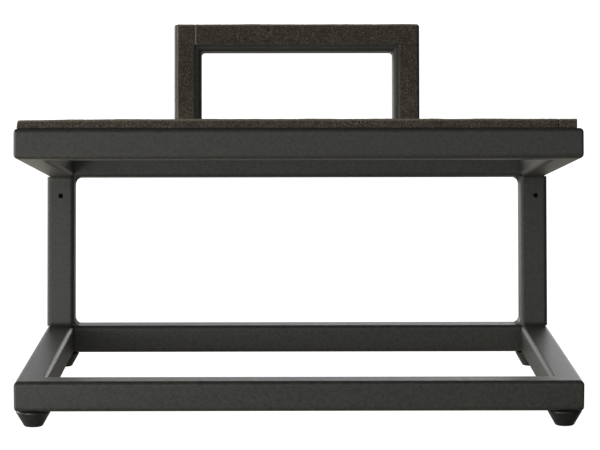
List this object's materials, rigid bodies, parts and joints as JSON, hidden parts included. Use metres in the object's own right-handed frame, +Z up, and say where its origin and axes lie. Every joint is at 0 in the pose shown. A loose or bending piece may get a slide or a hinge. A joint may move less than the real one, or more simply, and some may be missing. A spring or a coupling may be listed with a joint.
{
  "type": "tilt-back amplifier floor stand",
  "caption": "Low floor stand welded from square steel tube: a tilted open seat frame on two leaning posts over a flat base frame, with a small padded backrest and rubber feet.",
  "frame": {"origin": "on the floor, at the middle of the stand's width and depth", "axes": "+X to the right as the front is faced, +Y to the back, +Z up"},
  "size_m": [0.38, 0.2838, 0.2591],
  "materials": {
    "black_powder_coat": "satin powder coat with a fine grain",
    "dark_foam": "open-cell foam, matte, dark brown-grey",
    "black_rubber": "smooth moulded rubber",
    "zinc_plated_steel": "bright zinc plate"
  },
  "bodies": {
    "root": {"backrest_left_leg": "black_powder_coat", "backrest_right_leg": "black_powder_coat", "backrest_top_rail": "black_powder_coat", "base_front_rail": "black_powder_coat", "base_left_rail": "black_powder_coat", "base_rear_rail": "black_powder_coat", "base_right_rail": "black_powder_coat", "foam_backrest_left": "dark_foam", "foam_backrest_right": "dark_foam", "foam_backrest_top": "dark_foam", "foam_front_left": "dark_foam", "foam_front_right": "dark_foam", "foam_left_side": "dark_foam", "foam_right_side": "dark_foam", "foot_front_left": "black_rubber", "foot_front_right": "black_rubber", "foot_rear_left": "black_rubber", "foot_rear_right": "black_rubber", "foot_screw_front_left": "zinc_plated_steel", "foot_screw_front_right": "zinc_plated_steel", "foot_screw_rear_left": "zinc_plated_steel", "foot_screw_rear_right": "zinc_plated_steel", "foot_washer_front_left": "zinc_plated_steel", "foot_washer_front_right": "zinc_plated_steel", "foot_washer_rear_left": "zinc_plated_steel", "foot_washer_rear_right": "zinc_plated_steel", "left_post": "black_powder_coat", "right_post": "black_powder_coat", "seat_front_rail": "black_powder_coat", "seat_left_rail": "black_powder_coat", "seat_rear_rail": "black_powder_coat", "seat_right_rail": "black_powder_coat", "weld_backrest_foot_left": "black_powder_coat", "weld_backrest_foot_right": "black_powder_coat", "weld_backrest_top_left": "black_powder_coat", "weld_backrest_top_right": "black_powder_coat", "weld_base_left": "black_powder_coat", "weld_base_right": "black_powder_coat", "weld_seat_left": "black_powder_coat", "weld_seat_right": "black_powder_coat", "weld_post_foot_left": "black_powder_coat", "weld_post_foot_right": "black_powder_coat", "weld_post_head_left": "black_powder_coat", "weld_post_head_right": "black_powder_coat"}
  },
  "joints": []
}
